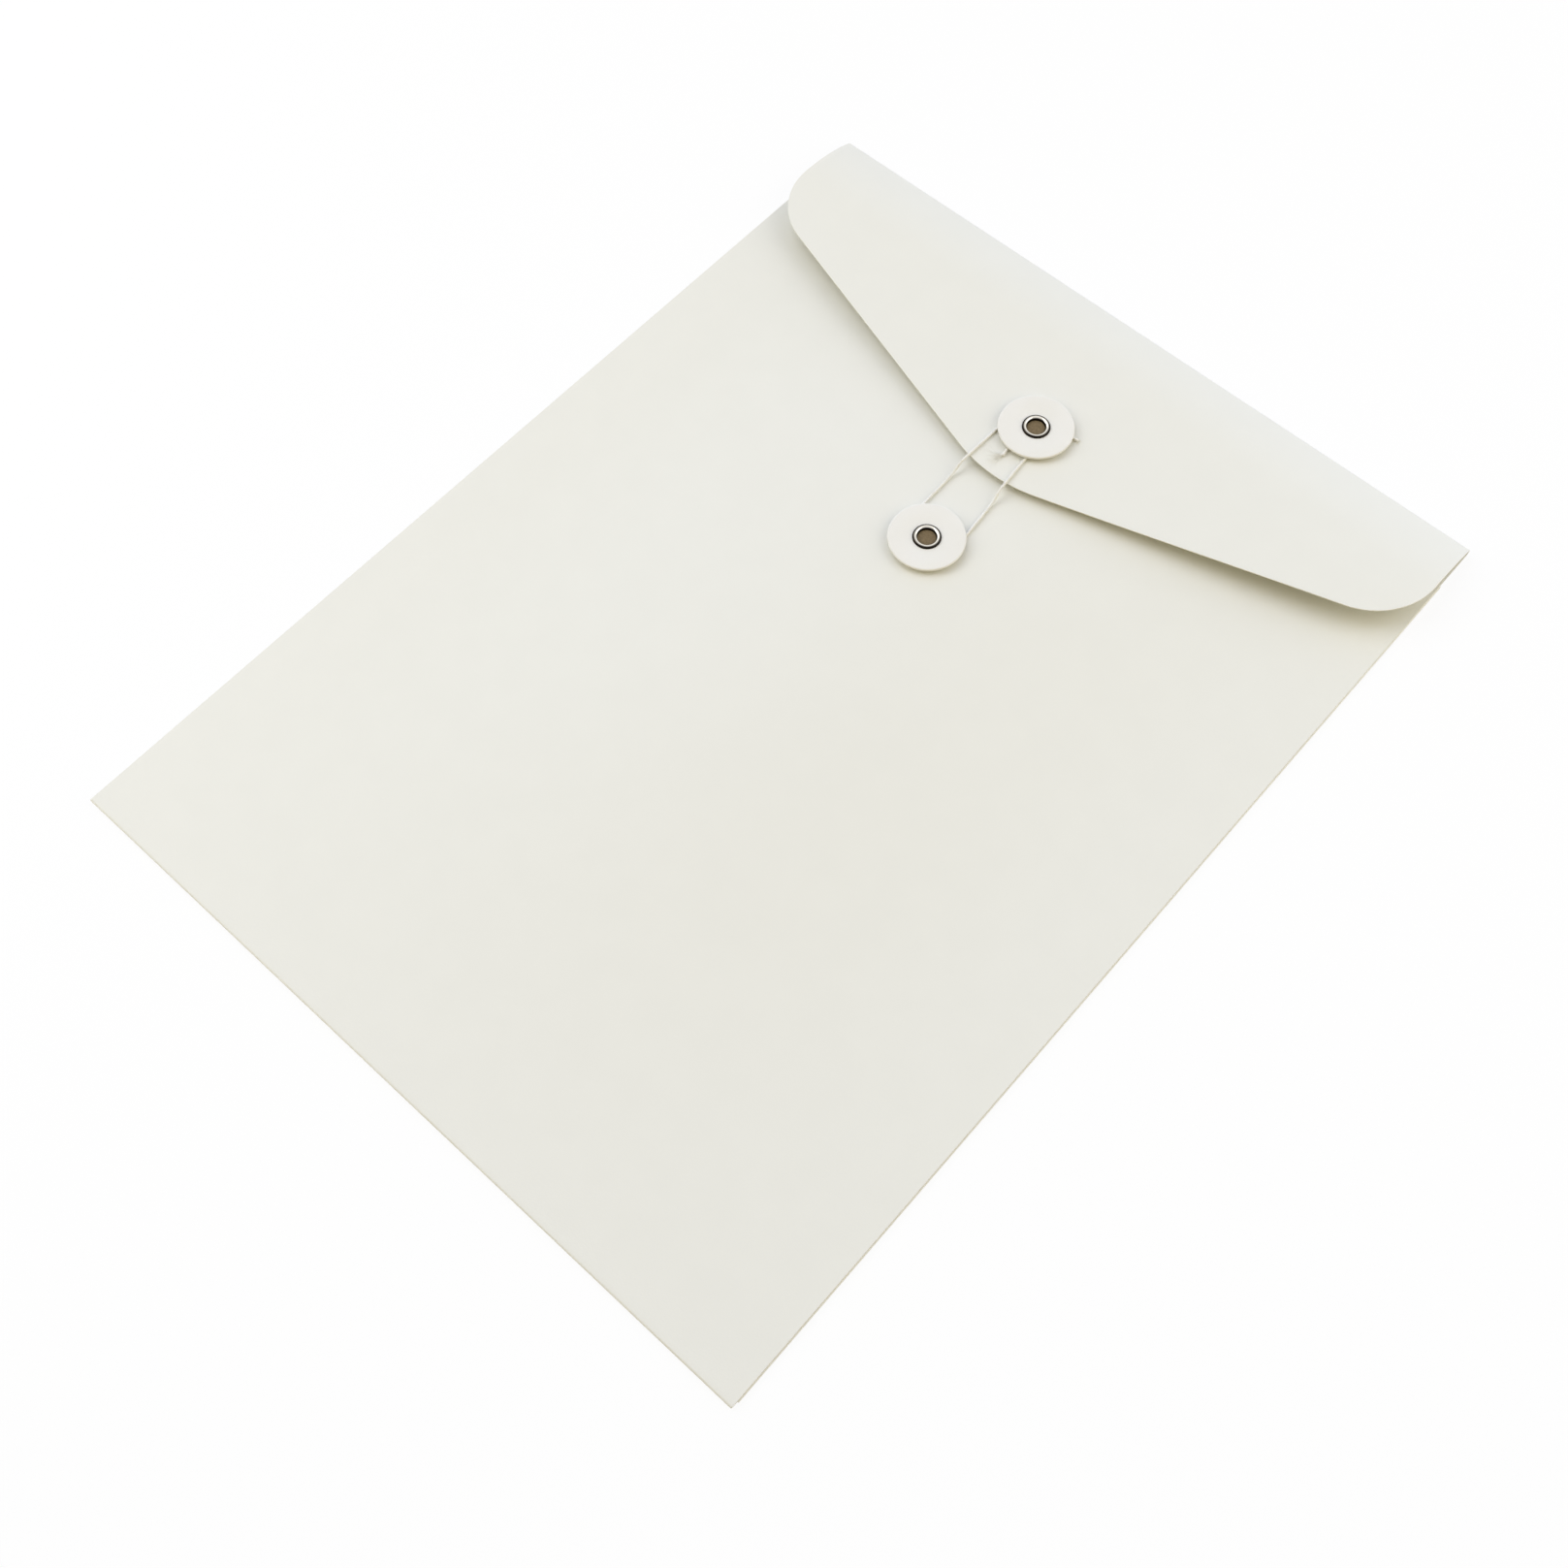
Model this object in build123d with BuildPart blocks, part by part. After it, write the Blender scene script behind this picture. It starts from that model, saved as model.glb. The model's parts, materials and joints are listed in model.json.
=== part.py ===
from build123d import *
import math
import os

# String tie envelope lying on its back, in millimetres.
# X runs across the envelope, Y along it towards the flap fold, Z up.
# The origin is the middle of the back face, on the table.

# Card blank
body_width = 229.0
body_length = 305.0
card = 0.35
crease_gap = 0.08
glue_thickness = 0.06

# Side seams
seam_width = 16.0
seam_end_setback = 1.5
seam_end_taper = 7.0
glue_width = 9.0
glue_end_margin = 10.0

# Pocket
pocket_gap = 5.0
crown_setback = 84.5
shoulder_setback = 34.5
bow_length = 97.0
bottom_camber = 0.05
ramp_sections = 5
throat_depth = 13.0

# Flap fold and closing flap
fold_radius = 1.6
fold_lead = 1.4
fold_springback = 22.0
flap_lift = 1.0
flap_depth = 71.3
flap_edge_slope = 17.5
flap_corner_radius = 22.0
flap_tip_radius = 45.0

# Buttons, eyelets and string
button_diameter = 22.0
button_thickness = 0.8
button_edge_chamfer = 0.15
button_setback = 51.5
button_spacing = 48.4
eyelet_flange_diameter = 8.2
eyelet_bore = 5.1
eyelet_wall = 0.3
flange_height = 0.55
clinch_diameter = 7.6
clinch_depth = 0.6
roll_facets = 5
string_diameter = 0.9
string_sides = 8
string_clearance = 0.15
string_rise_over_tip = 0.1
running_clearance = 0.05

# Levels and edges worked out from those sizes
fold_edge_y = body_length / 2
bottom_edge_y = -body_length / 2
seam_fold_radius = card + crease_gap / 2
sheet_half_width = body_width / 2 - seam_fold_radius
seam_inner_x = body_width / 2 - seam_width
glue_z = 2 * seam_fold_radius
land_z = glue_z + glue_thickness
bottom_fold_radius = (land_z + card) / 2
bottom_fold_y = bottom_edge_y + bottom_fold_radius
crown_z = card + pocket_gap
crown_rise = crown_z - land_z
pocket_top_z = crown_z + card
mouth_y = fold_edge_y - throat_depth
fold_center_y = fold_edge_y - fold_radius
back_panel_end_y = fold_center_y - fold_lead
flap_top_z = pocket_top_z + flap_lift + card
upper_y = fold_edge_y - button_setback
lower_y = upper_y - button_spacing
string_room = string_diameter + 2 * string_clearance
barrel_radius = eyelet_bore / 2 + eyelet_wall
pierced_radius = barrel_radius + running_clearance
upper_seat = Plane((0, upper_y, flap_top_z))
lower_seat = Plane((0, lower_y, pocket_top_z))


# Back panel: the flat address side
with BuildPart() as back_panel:
    with BuildSketch(Plane.XY):
        with Locations((0, (bottom_fold_y + back_panel_end_y) / 2)):
            Rectangle(2 * sheet_half_width, back_panel_end_y - bottom_fold_y)
    extrude(amount=card)


# Side seam flaps: a tight fold at the body's edge, then a narrow tapered strip
def seam_flap(side):
    fold_x = side * sheet_half_width
    inner_x = side * seam_inner_x
    fold_mid_x = side * (body_width / 2)
    crease_mid_x = side * (sheet_half_width + crease_gap / 2)
    low_y = bottom_fold_y + seam_end_setback
    high_y = mouth_y - seam_end_setback
    with BuildPart() as flap:
        with BuildSketch(Plane.XZ):
            with BuildLine():
                ThreePointArc((fold_x, 0), (fold_mid_x, seam_fold_radius), (fold_x, glue_z))
                Polyline(
                    (fold_x, glue_z),
                    (inner_x, glue_z),
                    (inner_x, glue_z - card),
                    (fold_x, glue_z - card),
                )
                ThreePointArc((fold_x, glue_z - card), (crease_mid_x, seam_fold_radius), (fold_x, card))
                Line((fold_x, card), (fold_x, 0))
            make_face()
        extrude(amount=body_length, both=True)
        with BuildSketch(Plane.XY):
            with BuildLine():
                Polyline(
                    (fold_mid_x, low_y),
                    (fold_x, low_y),
                    (inner_x, low_y + seam_end_taper),
                    (inner_x, high_y - seam_end_taper),
                    (fold_x, high_y),
                    (fold_mid_x, high_y),
                    close=True,
                )
            make_face()
        extrude(amount=2 * land_z, mode=Mode.INTERSECT)
    return flap


left_seam_flap = seam_flap(-1)
right_seam_flap = seam_flap(1)


# Glue lines: dried adhesive between each seam flap and the front panel
def glue_line(side):
    low_y = bottom_fold_y + seam_end_setback + glue_end_margin
    high_y = mouth_y - seam_end_setback - glue_end_margin
    middle_x = side * (sheet_half_width + seam_inner_x) / 2
    with BuildPart() as line:
        with BuildSketch(Plane.XY.offset(glue_z)):
            with Locations((middle_x, (low_y + high_y) / 2)):
                SlotOverall(high_y - low_y, glue_width, rotation=90)
        extrude(amount=glue_thickness)
    return line


left_glue_line = glue_line(-1)
right_glue_line = glue_line(1)


# One long edge of the front panel's cross-section, from -X to +X: flat on the seam, up two
# tangent arcs to the crown, level across the crown and down again.
def bowed_edge(level, rise):
    shoulder_x = body_width / 2 - shoulder_setback
    crown_x = body_width / 2 - crown_setback
    shoulder_share = (seam_inner_x - shoulder_x) / (seam_inner_x - crown_x)
    shoulder_level = level + rise * shoulder_share
    crown_level = level + rise
    knots = [
        (-sheet_half_width, level),
        (-seam_inner_x, level),
        (-shoulder_x, shoulder_level),
        (-crown_x, crown_level),
        (crown_x, crown_level),
        (shoulder_x, shoulder_level),
        (seam_inner_x, level),
        (sheet_half_width, level),
    ]
    Line(knots[0], knots[1])
    valley = TangentArc(knots[1], knots[2], tangent=(1, 0))
    TangentArc(knots[2], knots[3], tangent=valley % 1)
    crown = Line(knots[3], knots[4])
    ridge = TangentArc(knots[4], knots[5], tangent=crown % 1)
    TangentArc(knots[5], knots[6], tangent=ridge % 1)
    Line(knots[6], knots[7])


# Rise of the crown at a step along the ramp, from the bottom fold's camber to the full bow,
# with an even start and an even end
def bow_rise(step):
    return bottom_camber + (crown_rise - bottom_camber) * step * step * (3 - 2 * step)


# Front panel: bottom fold, then a sheet that bows up from the fold and the seams to the crown
with BuildPart() as front_panel:
    for section in range(ramp_sections):
        step = section / (ramp_sections - 1)
        station_y = bottom_fold_y + step * bow_length
        with BuildSketch(Plane.XZ.offset(-station_y)):
            with BuildLine():
                bowed_edge(land_z, bow_rise(step))
                bowed_edge(land_z + card, bow_rise(step))
                for side in (-1, 1):
                    Line((side * sheet_half_width, land_z), (side * sheet_half_width, land_z + card))
            make_face()
    loft()
    bow_end = front_panel.faces().sort_by(Axis.Y)[-1]
    extrude(bow_end, amount=mouth_y - bottom_fold_y - bow_length)
    with BuildSketch(Plane.YZ):
        with Locations((bottom_fold_y, bottom_fold_radius)):
            Circle(bottom_fold_radius)
            Circle(bottom_fold_radius - card, mode=Mode.SUBTRACT)
        with Locations((bottom_fold_y, bottom_fold_radius)):
            Rectangle(body_width, body_width, align=(Align.MIN, Align.CENTER), mode=Mode.SUBTRACT)
    extrude(amount=sheet_half_width, both=True)
    with BuildSketch(lower_seat):
        Circle(pierced_radius)
    extrude(amount=-2 * card, mode=Mode.SUBTRACT)


# Flap fold: the scored crease, rolled up from the back panel's top edge
fold_end_angle = 90 - fold_springback
with BuildPart() as flap_fold:
    with BuildSketch(Plane.YZ):
        with BuildLine():
            crease = CenterArc((fold_center_y, fold_radius), fold_radius - card / 2, -90, 90 + fold_end_angle)
            Line((back_panel_end_y, card / 2), crease @ 0)
        trace(line_width=card)
    extrude(amount=sheet_half_width, both=True)
    flap_root = crease @ 1
    flap_direction = crease % 1


# Closing flap: springs up from the crease, levels off and is cut to a point with round corners
with BuildPart() as closure_flap:
    level_mid_z = flap_top_z - card / 2
    spring_radius = (level_mid_z - flap_root.Y) / (1 - math.cos(math.radians(fold_springback)))
    tip_rounding = flap_tip_radius * (1 / math.cos(math.radians(flap_edge_slope)) - 1)
    tip_y = fold_edge_y - flap_depth
    apex_y = tip_y - tip_rounding
    corner_y = apex_y + sheet_half_width * math.tan(math.radians(flap_edge_slope))
    with BuildSketch(Plane.YZ):
        with BuildLine():
            spring = JernArc(flap_root, flap_direction, spring_radius, fold_springback)
            Line(spring @ 1, (apex_y, level_mid_z))
        trace(line_width=card)
    extrude(amount=sheet_half_width, both=True)
    with BuildSketch(Plane.XY):
        with BuildLine():
            Polyline(
                (-sheet_half_width, fold_edge_y),
                (-sheet_half_width, corner_y),
                (0, apex_y),
                (sheet_half_width, corner_y),
                (sheet_half_width, fold_edge_y),
                close=True,
            )
        make_face()
        outline = vertices().sort_by(Axis.Y)
        fillet(outline[0], flap_tip_radius)
        fillet(vertices().filter_by_position(Axis.Y, corner_y, corner_y), flap_corner_radius)
    extrude(amount=2 * flap_top_z, mode=Mode.INTERSECT)
    with BuildSketch(upper_seat):
        Circle(pierced_radius)
    extrude(amount=-2 * card, mode=Mode.SUBTRACT)


# Buttons: round card discs that stand off the sheet by the room the string needs
def card_button(seat):
    with BuildPart() as button:
        with BuildSketch(seat.offset(string_room)):
            Circle(button_diameter / 2)
            Circle(pierced_radius, mode=Mode.SUBTRACT)
        extrude(amount=button_thickness)
        rims = button.edges().filter_by(GeomType.CIRCLE).sort_by(SortBy.RADIUS)
        chamfer(rims[-2:], button_edge_chamfer)
    return button


upper_button = card_button(upper_seat)
lower_button = card_button(lower_seat)


# One skin of a rolled edge: half an ellipse of the given height from one radius to another, in facets
def roll_skin(from_radius, to_radius, level, height):
    middle = (from_radius + to_radius) / 2
    reach = (from_radius - to_radius) / 2
    turns = [math.pi * facet / roll_facets for facet in range(roll_facets + 1)]
    Polyline([(middle + reach * math.cos(turn), level + height * math.sin(turn)) for turn in turns])


# Eyelets: a rolled flange over the button, a barrel through the stack, a clinched roll below
def rolled_eyelet(seat):
    bore_radius = eyelet_bore / 2
    flange_radius = eyelet_flange_diameter / 2
    clinch_radius = clinch_diameter / 2
    flange_z = string_room + button_thickness + running_clearance
    clinch_z = -card - running_clearance
    section = Plane(seat.origin, x_dir=(1, 0, 0), z_dir=(0, -1, 0))
    with BuildPart() as eyelet:
        with BuildSketch(section):
            with BuildLine():
                roll_skin(bore_radius, flange_radius, flange_z, flange_height)
                Line((flange_radius, flange_z), (flange_radius - eyelet_wall, flange_z))
                roll_skin(flange_radius - eyelet_wall, barrel_radius, flange_z, flange_height - eyelet_wall)
                Line((barrel_radius, flange_z), (barrel_radius, clinch_z))
                roll_skin(barrel_radius, clinch_radius - eyelet_wall, clinch_z, eyelet_wall - clinch_depth)
                Line((clinch_radius - eyelet_wall, clinch_z), (clinch_radius, clinch_z))
                roll_skin(clinch_radius, bore_radius, clinch_z, -clinch_depth)
                Line((bore_radius, clinch_z), (bore_radius, flange_z))
            make_face()
        revolve(axis=Axis(seat.origin, seat.z_dir))
    return eyelet


upper_eyelet = rolled_eyelet(upper_seat)
lower_eyelet = rolled_eyelet(lower_seat)


# String: tucked under the upper button, down the left, round the lower eyelet, up the right,
# round the upper eyelet and out below the button. Points are offsets from the two buttons.
upper_string_z = flap_top_z + string_room / 2
tip_string_z = upper_string_z + string_rise_over_tip
lower_string_z = pocket_top_z + string_room / 2
string_route = [
    (12.2, upper_y + 5.5, upper_string_z),
    (7.3, upper_y + 7.9, upper_string_z),
    (1.4, upper_y + 9.2, upper_string_z),
    (-4.8, upper_y + 7.8, upper_string_z),
    (-8.2, upper_y + 2.6, upper_string_z),
    (-8.4, upper_y - 6.0, upper_string_z),
    (-9.0, upper_y - 20.5, tip_string_z),
    (-8.5, lower_y + 14.0, lower_string_z),
    (-8.2, lower_y + 5.0, lower_string_z),
    (-6.9, lower_y - 3.2, lower_string_z),
    (-2.7, lower_y - 8.0, lower_string_z),
    (3.0, lower_y - 7.8, lower_string_z),
    (6.9, lower_y - 3.0, lower_string_z),
    (7.6, lower_y + 5.0, lower_string_z),
    (6.7, lower_y + 14.0, lower_string_z),
    (5.2, upper_y - 20.5, tip_string_z),
    (3.9, upper_y - 8.5, upper_string_z),
    (3.8, upper_y - 2.2, upper_string_z),
    (3.8, upper_y + 2.2, upper_string_z),
    (0.0, upper_y + 4.4, upper_string_z),
    (-3.8, upper_y + 2.2, upper_string_z),
    (-3.7, upper_y - 2.4, upper_string_z),
    (-2.7, upper_y - 7.0, upper_string_z),
    (-2.8, upper_y - 11.3, upper_string_z),
    (-3.3, upper_y - 15.4, upper_string_z),
]
run_share = 0.45
self_gap_reach = 6.0
self_gap_samples = 400


# Radius at each corner of a route: as large as its two runs allow
def bend_radii(route):
    points = [Vector(*point) for point in route]
    radii = []
    for before, corner, after in zip(points, points[1:], points[2:]):
        run_in = corner - before
        run_out = after - corner
        half_turn = math.radians(run_in.get_angle(run_out) / 2)
        radii.append(run_share * min(run_in.length, run_out.length) / math.tan(half_turn))
    return radii


string_radii = bend_radii(string_route)
with BuildPart() as tie_string:
    with BuildLine():
        string_line = FilletPolyline(*string_route, radius=string_radii)
    with BuildSketch(Plane(string_line @ 0, z_dir=string_line % 0)) as string_section:
        RegularPolygon(string_diameter / 2, string_sides)
    sweep(path=string_line)

string_length = string_line.length
string_volume = string_section.sketch.area * string_length
samples = [string_line @ (i / self_gap_samples) for i in range(self_gap_samples + 1)]
skip = math.ceil(self_gap_reach / string_length * self_gap_samples)
self_gap = min(
    (samples[j] - samples[i]).length - string_diameter
    for i in range(len(samples))
    for j in range(i + skip, len(samples))
)
print("string length", round(string_length, 1), "least gap to itself", round(self_gap, 2))
print("string volume over section times length", round(tie_string.part.volume / string_volume, 4))
print("string bend radii", [round(radius, 1) for radius in string_radii])


pieces = {
    "back_panel": back_panel,
    "front_panel": front_panel,
    "left_seam_flap": left_seam_flap,
    "right_seam_flap": right_seam_flap,
    "left_glue_line": left_glue_line,
    "right_glue_line": right_glue_line,
    "flap_fold": flap_fold,
    "closure_flap": closure_flap,
    "upper_button": upper_button,
    "lower_button": lower_button,
    "upper_eyelet": upper_eyelet,
    "lower_eyelet": lower_eyelet,
    "tie_string": tie_string,
}
os.makedirs("parts", exist_ok=True)
for name, piece in pieces.items():
    piece.part.label = name
    export_step(piece.part, f"parts/{name}.step")
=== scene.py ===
import json
import math

import bmesh
import bpy
import numpy as np
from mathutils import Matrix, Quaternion, Vector


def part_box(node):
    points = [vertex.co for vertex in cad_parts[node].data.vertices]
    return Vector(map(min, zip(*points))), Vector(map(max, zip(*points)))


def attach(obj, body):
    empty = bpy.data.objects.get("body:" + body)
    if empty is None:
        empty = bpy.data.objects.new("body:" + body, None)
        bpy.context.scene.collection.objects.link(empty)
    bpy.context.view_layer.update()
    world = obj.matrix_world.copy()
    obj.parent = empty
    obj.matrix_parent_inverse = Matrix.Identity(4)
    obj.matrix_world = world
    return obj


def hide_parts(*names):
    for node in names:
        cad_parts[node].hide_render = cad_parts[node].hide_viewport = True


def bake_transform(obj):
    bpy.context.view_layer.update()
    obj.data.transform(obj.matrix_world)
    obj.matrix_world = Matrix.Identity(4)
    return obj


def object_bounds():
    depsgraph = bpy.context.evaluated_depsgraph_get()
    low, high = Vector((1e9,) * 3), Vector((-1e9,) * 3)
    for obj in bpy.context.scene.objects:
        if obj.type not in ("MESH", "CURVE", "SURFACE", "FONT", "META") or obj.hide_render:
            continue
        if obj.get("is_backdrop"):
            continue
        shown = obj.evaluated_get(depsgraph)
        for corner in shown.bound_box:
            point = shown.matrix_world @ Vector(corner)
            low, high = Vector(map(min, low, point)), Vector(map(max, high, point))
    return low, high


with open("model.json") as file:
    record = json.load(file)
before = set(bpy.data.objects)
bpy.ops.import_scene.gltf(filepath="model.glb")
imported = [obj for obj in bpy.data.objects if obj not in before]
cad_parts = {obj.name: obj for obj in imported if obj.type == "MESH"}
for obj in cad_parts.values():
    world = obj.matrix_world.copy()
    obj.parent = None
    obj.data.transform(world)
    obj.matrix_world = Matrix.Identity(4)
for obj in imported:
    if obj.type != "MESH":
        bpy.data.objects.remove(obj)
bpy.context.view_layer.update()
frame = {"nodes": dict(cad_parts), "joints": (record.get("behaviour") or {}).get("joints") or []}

# A cream card envelope on its back, tied shut with a string between two card buttons.
# Lengths are in metres, written in millimetres times MM. X runs across, Y towards the flap fold, Z up.
MM = 0.001
rng = np.random.default_rng(7)

# Sizes read from the frame
back_low, back_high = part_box("back_panel")
front_low, front_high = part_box("front_panel")
fold_low, fold_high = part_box("flap_fold")
flap_low, flap_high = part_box("closure_flap")
disc_low, disc_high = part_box("upper_button")
lower_disc_low, lower_disc_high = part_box("lower_button")
eyelet_low, eyelet_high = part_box("upper_eyelet")
hinge = Vector(next(joint["pos_m"] for joint in frame["joints"] if joint["name"] == "flap_hinge"))
CARD = back_high.z - back_low.z
HALF_WIDTH = front_high.x
LAND_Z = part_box("left_glue_line")[1].z
SEAM_INNER_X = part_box("right_seam_flap")[0].x
UPPER_Y = (disc_low.y + disc_high.y) / 2
LOWER_Y = (lower_disc_low.y + lower_disc_high.y) / 2
BUTTON_RADIUS = (disc_high.x - disc_low.x) / 2
BUTTON_THICKNESS = disc_high.z - disc_low.z
STRING_ROOM = disc_low.z - flap_high.z

# Pocket and flap shape, as the card is bent and cut
BOW_LENGTH = 165 * MM
SPRINGBACK = math.radians(22)
EDGE_SLOPE = math.radians(17.5)
CORNER_RADIUS = 22 * MM
TIP_RADIUS = 45 * MM
CELL = 1.2 * MM
BOTTOM_FOLD_STEPS = 14
CREASE_STEPS = 26
FLAP_ROWS = 61
FLAP_COLUMNS = 221
WAVE_HEIGHT = 0.07 * MM
CROSS_WAVE_X = 23 * MM
CROSS_WAVE_Y = 31 * MM
CROSS_WAVE_START_X = 0.6
CROSS_WAVE_START_Y = 1.1
SLANT_WAVE_X = 41 * MM
SLANT_WAVE_Y = 37 * MM
MOUTH_DROOP = 0.9 * MM
MOUTH_DROOP_RUN = 30 * MM
CORNER_LIFT = 1.6 * MM
CORNER_LIFT_X = 12 * MM
CORNER_LIFT_RUN = 34 * MM

# Buttons and eyelets
PIERCED_RADIUS = 3.0 * MM
BUTTON_EDGE = 0.22 * MM
BUTTON_DISH = 0.28 * MM
BUTTON_DISH_REACH = 6.5 * MM
BUTTON_EDGE_STEPS = 9
BUTTON_FACE_STEPS = 18
BUTTON_TURNS = 128
EYELET_BORE_RADIUS = 2.74 * MM
EYELET_WALL = 0.2 * MM
FLANGE_HEIGHT = 0.55 * MM
CLINCH_RADIUS = 3.8 * MM
CLINCH_DEPTH = 0.6 * MM
RUNNING_CLEARANCE = 0.05 * MM
ROLL_STEPS = 17
EYELET_TURNS = 96
# Shares of the eyelet's flange, from the bore and from the outer edge, painted nearly black as shade and
# dark reflection
LIP_PAINTED_SHADE = 0.24
SEAT_PAINTED_SHADE = 0.6
BORE_PAPER_DEPTH = 0.55 * MM
BORE_PAPER_THICKNESS = 0.35 * MM
BORE_PAPER_EDGE = 0.1 * MM

# String: a rise where it crosses the flap's tip, a drop behind the tip, and a sag to the lower button
STRING_DIAMETER = 0.9 * MM
STRING_LAY = 3.4 * MM
STRING_PLIES = 3
STRING_STEPS = 24
PLY_ARM = 0.235 * STRING_DIAMETER
PLY_RADIUS = 0.265 * STRING_DIAMETER
TIP_RISE = 0.2 * MM
TIP_DROP = 0.7 * MM
STRING_SAG = 0.3 * MM

# Loose fibres: leans, bends and curls are spreads, as slopes. A pair is a least and a greatest share, of
# the fibre's length for FIBRE_REACH and of the string's diameter for the others.
FIBRE_STEPS = 9
FIBRE_RADIUS = 0.045 * STRING_DIAMETER
FIBRE_ROOT_SIZE = 1.3
FIBRE_TIP_SIZE = 0.5
FIBRE_LEAN = 0.55
FIBRE_BEND = 0.6
FIBRE_SCATTER = 0.14 * STRING_DIAMETER
FIBRE_REACH = (0.25, 1)
FIBRE_LIFT = (-0.35, 0.25)
END_SPAN = 3
TAIL_FIBRES = 40
TAIL_FIBRE_LENGTH = 5.5 * MM
TAIL_FIBRE_ROOT = 0.6 * MM
TAIL_SWEEP = 1.2
HEAD_FIBRES = 36
HEAD_FIBRE_LENGTH = 1.2 * MM
HEAD_FIBRE_ROOT = 0.4 * MM
HEAD_SWEEP = 0
FUZZ_FIBRES = 220
FUZZ_REACH = (0.5, 1.1)
FUZZ_CURL = 0.8

# Meshes: edges sharper than these angles stay crisp, and points closer than the distance are merged
SHARP_ANGLE = math.radians(40)
STRAND_SHARP_ANGLE = math.radians(75)
MERGE_DISTANCE = 0.001 * MM
UP = np.array((0, 0, 1))

# View, from the photograph's fitted camera
CAMERA_PLACE = Vector((157.72, -179.66, 431.18)) * MM
CAMERA_AIM = Vector((18.58, -27.63, 0)) * MM
CAMERA_ROLL = math.radians(-0.757)
CAMERA_LENS = 41.63
SENSOR = 36.0


# Camera
camera = bpy.data.objects.new("camera", bpy.data.cameras.new("camera"))
bpy.context.scene.collection.objects.link(camera)
camera.data.lens = CAMERA_LENS
camera.data.sensor_width = SENSOR
camera.location = CAMERA_PLACE
camera.rotation_mode = "QUATERNION"
look = (CAMERA_AIM - CAMERA_PLACE).to_track_quat("-Z", "Y")
camera.rotation_quaternion = look @ Quaternion((0, 0, 1), CAMERA_ROLL)
bpy.context.scene.camera = camera


# Colours and nodes
def linear(colour):
    """A hex sRGB colour as linear red, green, blue and alpha, by the standard sRGB curve."""
    parts = [int(colour[i:i + 2], 16) / 255 for i in (1, 3, 5)]
    return (*[p / 12.92 if p <= 0.04045 else ((p + 0.055) / 1.055) ** 2.4 for p in parts], 1.0)


def per_metre(size):
    """A texture scale whose features are about that size."""
    return 1 / size


def add(tree, kind, values=(), **settings):
    """Adds a node. Settings are its properties; values sets its inputs, or links a socket to them."""
    node = tree.nodes.new(kind)
    for name, value in settings.items():
        setattr(node, name, value)
    for name, value in dict(values).items():
        if isinstance(value, bpy.types.NodeSocket):
            tree.links.new(value, node.inputs[name])
        else:
            node.inputs[name].default_value = value
    return node


def new_material(name):
    """A material's node tree with its Principled shader and its Object coordinates."""
    material = bpy.data.materials.new(name)
    material.use_nodes = True
    tree = material.node_tree
    shader = tree.nodes["Principled BSDF"]
    place = add(tree, "ShaderNodeTexCoord").outputs["Object"]
    return material, tree, shader, place


def mixed(tree, factor, first, second):
    """A colour that goes from the first to the second with the factor. Sockets 6 and 7 are the node's
    two colours, and its third output is the mixed one."""
    node = add(tree, "ShaderNodeMix", data_type="RGBA")
    tree.links.new(factor, node.inputs[0])
    for socket, colour in ((node.inputs[6], first), (node.inputs[7], second)):
        if isinstance(colour, bpy.types.NodeSocket):
            tree.links.new(colour, socket)
        else:
            socket.default_value = colour
    return node.outputs[2]


# The middle of a noise, stretched to the whole range
PULP_RANGE = {"From Min": 0.35, "From Max": 0.65}


# Uncoated card, calendered: matt, with a cloudy formation of the pulp, a fine tooth and rare specks.
# The tooth is about 0.1 mm on the real card, and is drawn at 0.5 mm to show.
def uncoated_card(name, colour, cloud, tooth_depth):
    CLOUD = 11 * MM
    TOOTH = 0.5 * MM
    SPECK = 0.22 * MM
    SPECK_CELL = 58 * MM
    SPECK_SHARE = 0.42
    material, tree, shader, place = new_material(name)
    shader.inputs["Roughness"].default_value = 0.82
    shader.inputs["Specular IOR Level"].default_value = 0.25
    clouds = add(tree, "ShaderNodeTexNoise", {"Vector": place, "Scale": per_metre(CLOUD), "Detail": 5.0})
    share = add(tree, "ShaderNodeMapRange", {"Value": clouds.outputs[0], **PULP_RANGE})
    pulp = mixed(tree, share.outputs[0], linear(colour), linear(cloud))
    specks = add(tree, "ShaderNodeTexVoronoi", {"Vector": place, "Scale": per_metre(SPECK_CELL)})
    distance = specks.outputs["Distance"]
    near = add(tree, "ShaderNodeMath", {0: distance, 1: SPECK / SPECK_CELL}, operation="LESS_THAN")
    pick = add(tree, "ShaderNodeSeparateColor", {"Color": specks.outputs["Color"]})
    chosen = add(tree, "ShaderNodeMath", {0: pick.outputs[0], 1: SPECK_SHARE}, operation="LESS_THAN")
    speck = add(tree, "ShaderNodeMath", {0: near.outputs[0], 1: chosen.outputs[0]}, operation="MULTIPLY")
    tree.links.new(mixed(tree, speck.outputs[0], pulp, linear("#A79F8E")), shader.inputs["Base Color"])
    tooth = add(tree, "ShaderNodeTexNoise", {"Vector": place, "Scale": per_metre(TOOTH), "Detail": 4.0})
    relief = {"Height": tooth.outputs[0], "Strength": 0.35, "Distance": tooth_depth}
    bump = add(tree, "ShaderNodeBump", relief)
    tree.links.new(bump.outputs[0], shader.inputs["Normal"])
    return material
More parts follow.
